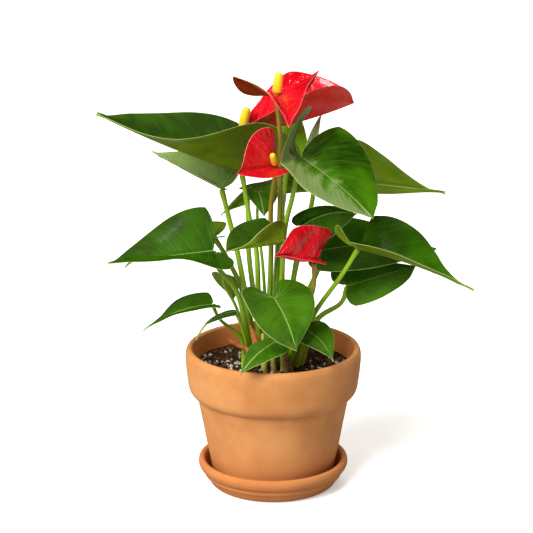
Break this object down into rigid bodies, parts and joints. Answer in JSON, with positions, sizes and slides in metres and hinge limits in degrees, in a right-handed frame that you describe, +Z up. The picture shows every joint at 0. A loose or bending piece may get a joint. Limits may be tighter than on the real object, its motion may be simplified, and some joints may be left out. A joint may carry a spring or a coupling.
{
  "type": "potted anthurium",
  "caption": "Flowering house plant with heart-shaped leaves and red waxy flowers, growing in a terracotta pot that stands on a matching saucer.",
  "frame": {"origin": "centre of the saucer's flat underside, on the axis of the pot", "axes": "+Z up along the pot's axis, -Y towards the front of the plant, +X to its right as seen from the front"},
  "size_m": [0.3203, 0.1888, 0.3804],
  "materials": {
    "terracotta": "matte",
    "soil": "matte",
    "leaf": "satin",
    "petiole": "satin",
    "dry_sheath": "matte",
    "spathe": "gloss",
    "spadix": "satin"
  },
  "bodies": {
    "root": {"saucer": "terracotta", "pot": "terracotta", "soil": "soil", "crown": "petiole", "dry_sheath_left": "dry_sheath", "dry_sheath_tall": "dry_sheath", "leaf_upper_left": "leaf", "petiole_upper_left": "petiole", "leaf_second_left": "leaf", "petiole_second_left": "petiole", "leaf_back_left": "leaf", "petiole_back_left": "petiole", "leaf_lower_left": "leaf", "petiole_lower_left": "petiole", "leaf_lower_left_back": "leaf", "petiole_lower_left_back": "petiole", "leaf_folded": "leaf", "petiole_folded": "petiole", "leaf_nodding": "leaf", "petiole_nodding": "petiole", "leaf_front_right": "leaf", "petiole_front_right": "petiole", "leaf_back_right": "leaf", "petiole_back_right": "petiole", "leaf_upright": "leaf", "petiole_upright": "petiole", "leaf_furled": "leaf", "petiole_furled": "petiole", "leaf_mid_right": "leaf", "petiole_mid_right": "petiole", "leaf_lower_right": "leaf", "petiole_lower_right": "petiole", "leaf_low_right": "leaf", "petiole_low_right": "petiole", "leaf_lower_right_back": "leaf", "petiole_lower_right_back": "petiole", "leaf_front": "leaf", "petiole_front": "petiole", "leaf_over_rim": "leaf", "petiole_over_rim": "petiole", "leaf_small_right": "leaf", "petiole_small_right": "petiole", "leaf_small_left": "leaf", "petiole_small_left": "petiole", "leaf_arching": "leaf", "petiole_arching": "petiole", "leaf_inner_left": "leaf", "petiole_inner_left": "petiole", "spathe_top": "spathe", "peduncle_top": "petiole", "spadix_top": "spadix", "spathe_back": "spathe", "peduncle_back": "petiole", "spadix_back": "spadix", "spathe_middle": "spathe", "peduncle_middle": "petiole", "spadix_middle": "spadix", "spathe_low": "spathe", "peduncle_low": "petiole", "spadix_low": "spadix"}
  },
  "joints": []
}
